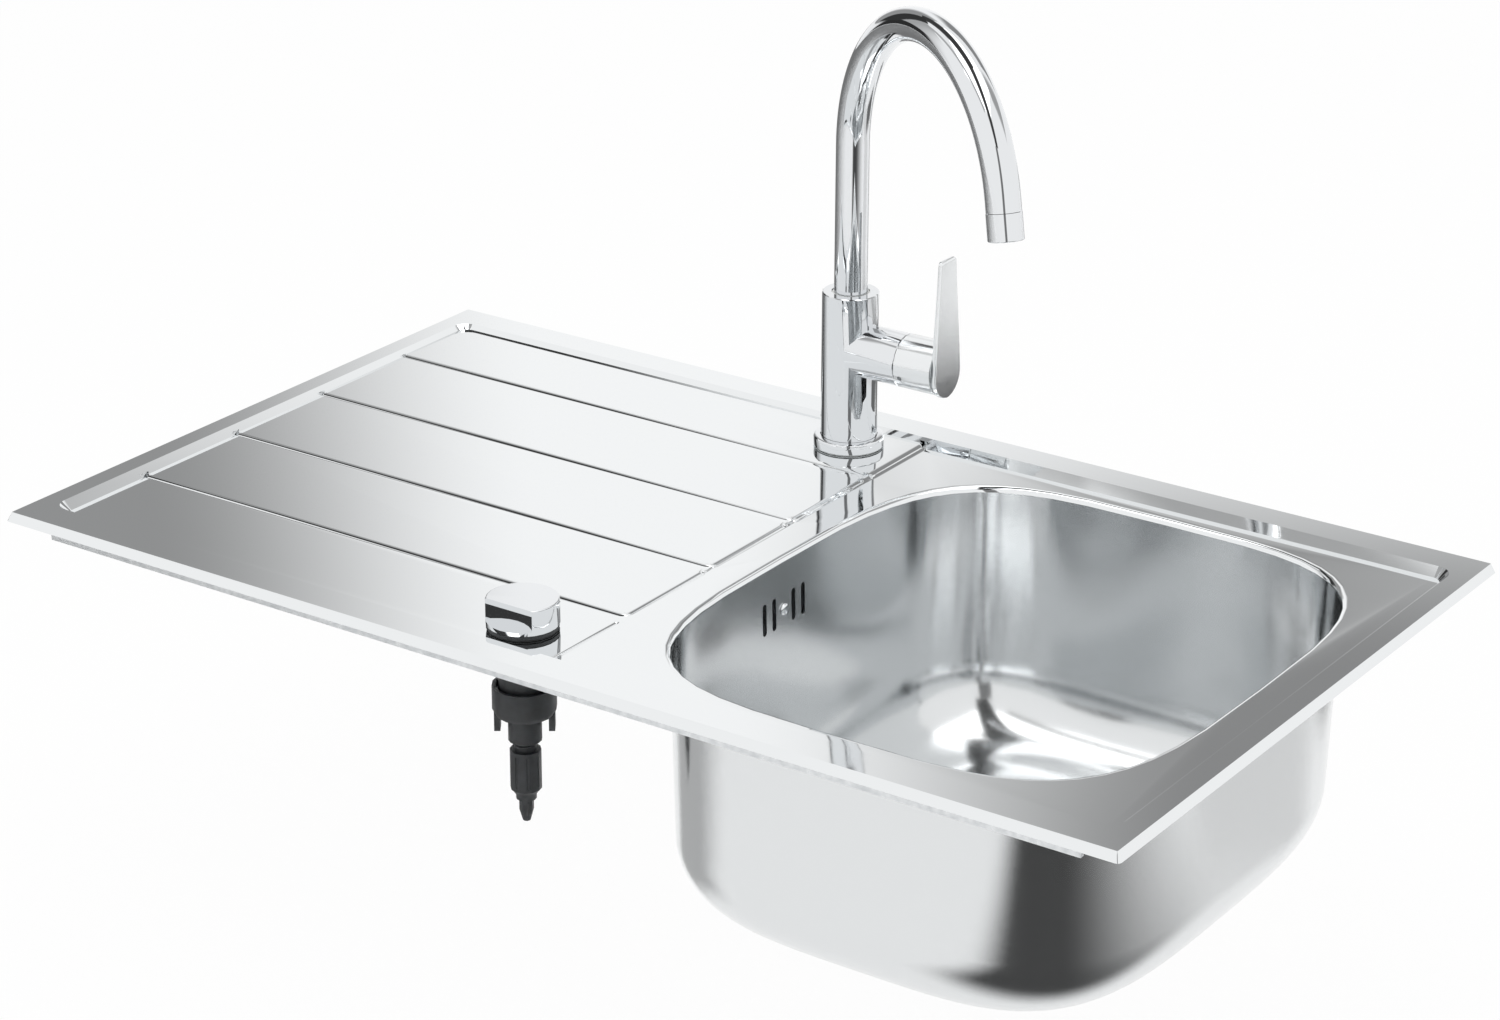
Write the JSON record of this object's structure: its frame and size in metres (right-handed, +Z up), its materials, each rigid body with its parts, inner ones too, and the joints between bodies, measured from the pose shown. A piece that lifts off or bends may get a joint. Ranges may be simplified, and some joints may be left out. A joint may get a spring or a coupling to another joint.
{
  "type": "kitchen sink with drainboard",
  "caption": "Inset stainless steel kitchen sink with a terraced drainboard on the left, a square bowl, a swivel gooseneck mixer tap and a knob-controlled strainer waste.",
  "frame": {"origin": "centre of the rim outline at the height of the worktop it lies on", "axes": "+X along the length towards the bowl, +Y to the back where the tap stands, +Z up"},
  "size_m": [0.86, 0.5, 0.6154],
  "materials": {
    "polished_steel": "mirror-polished rolled stainless steel",
    "satin_steel": "satin-brushed drawn stainless steel",
    "chrome": "polished chrome plating",
    "satin_chrome": "chrome plating with a fine satin grain",
    "brass": "bare turned brass",
    "zinc_steel": "bright zinc-plated steel",
    "black_plastic": "moulded matt black",
    "grey_plastic": "moulded grey",
    "white_plastic": "moulded white",
    "rubber": "black moulded rubber",
    "foam": "closed-cell foam strip"
  },
  "bodies": {
    "sink": {"sink_deck": "polished_steel", "waste_flange": "polished_steel", "sink_bowl": "satin_steel", "tap_body": "chrome", "tap_base_ring": "chrome", "dome_cap": "chrome", "overflow_screw": "chrome", "waste_hollow_screw": "brass", "tap_nut": "brass", "tap_stud": "brass", "cartridge_nut": "brass", "rail_left": "zinc_steel", "rail_right": "zinc_steel", "rail_front": "zinc_steel", "rail_back": "zinc_steel", "tap_clamp_plate": "zinc_steel", "knob_bush": "black_plastic", "knob_nut": "black_plastic", "cable_coupling": "black_plastic", "cable_adjuster": "black_plastic", "cable_nozzle": "black_plastic", "overflow_housing": "grey_plastic", "waste_body": "white_plastic", "outlet_nut": "white_plastic", "outlet_tail": "white_plastic", "spout_lower_guide": "white_plastic", "spout_upper_guide": "white_plastic", "cartridge": "white_plastic", "overflow_gasket": "rubber", "waste_flange_seal": "rubber", "waste_body_seal": "rubber", "outlet_washer": "rubber", "knob_seal": "rubber", "knob_washer": "rubber", "tap_base_gasket": "rubber", "tap_rubber_washer": "rubber", "rim_seal": "foam"},
    "spout": {"spout": "chrome", "aerator_sleeve": "chrome", "aerator_insert": "grey_plastic"},
    "lever_carrier": {"cartridge_carrier": "grey_plastic"},
    "lever": {"tap_lever": "satin_chrome", "lever_stem": "zinc_steel", "lever_screw": "zinc_steel", "lever_marker": "grey_plastic"},
    "knob": {"waste_knob": "chrome", "knob_spindle": "zinc_steel"},
    "lift": {"lift_pin": "zinc_steel"},
    "strainer": {"strainer_plug": "polished_steel", "strainer_seal": "rubber"}
  },
  "joints": [
    {"name": "spout_swivel", "type": "hinge", "parent": "sink", "child": "spout", "pos_m": [-0.038, 0.188, 0], "axis": [0, 0, 1], "range_deg": [-129, 11]},
    {"name": "lever_turn", "type": "hinge", "parent": "sink", "child": "lever_carrier", "pos_m": [-0.003, 0.188, 0.0762], "axis": [1, 0, 0], "range_deg": [-45, 45]},
    {"name": "lever_tilt", "type": "hinge", "parent": "lever_carrier", "child": "lever", "pos_m": [-0.003, 0.188, 0.0762], "axis": [0, 1, 0], "range_deg": [0, 22]},
    {"name": "knob_turn", "type": "hinge", "parent": "sink", "child": "knob", "pos_m": [-0.038, -0.188, 0], "axis": [0, 0, 1], "range_deg": [0, 90]},
    {"name": "plug_lift", "type": "slide", "parent": "sink", "child": "lift", "axis": [0, 0, 1], "range_m": [0, 0.0101]},
    {"name": "strainer_lift_out", "type": "slide", "parent": "lift", "child": "strainer", "axis": [0, 0, 1], "range_m": [0, 0.17]}
  ],
  "couplings": [
    {"joint": "plug_lift", "follows": "knob_turn", "m_per_rad": 0.0063662}
  ]
}
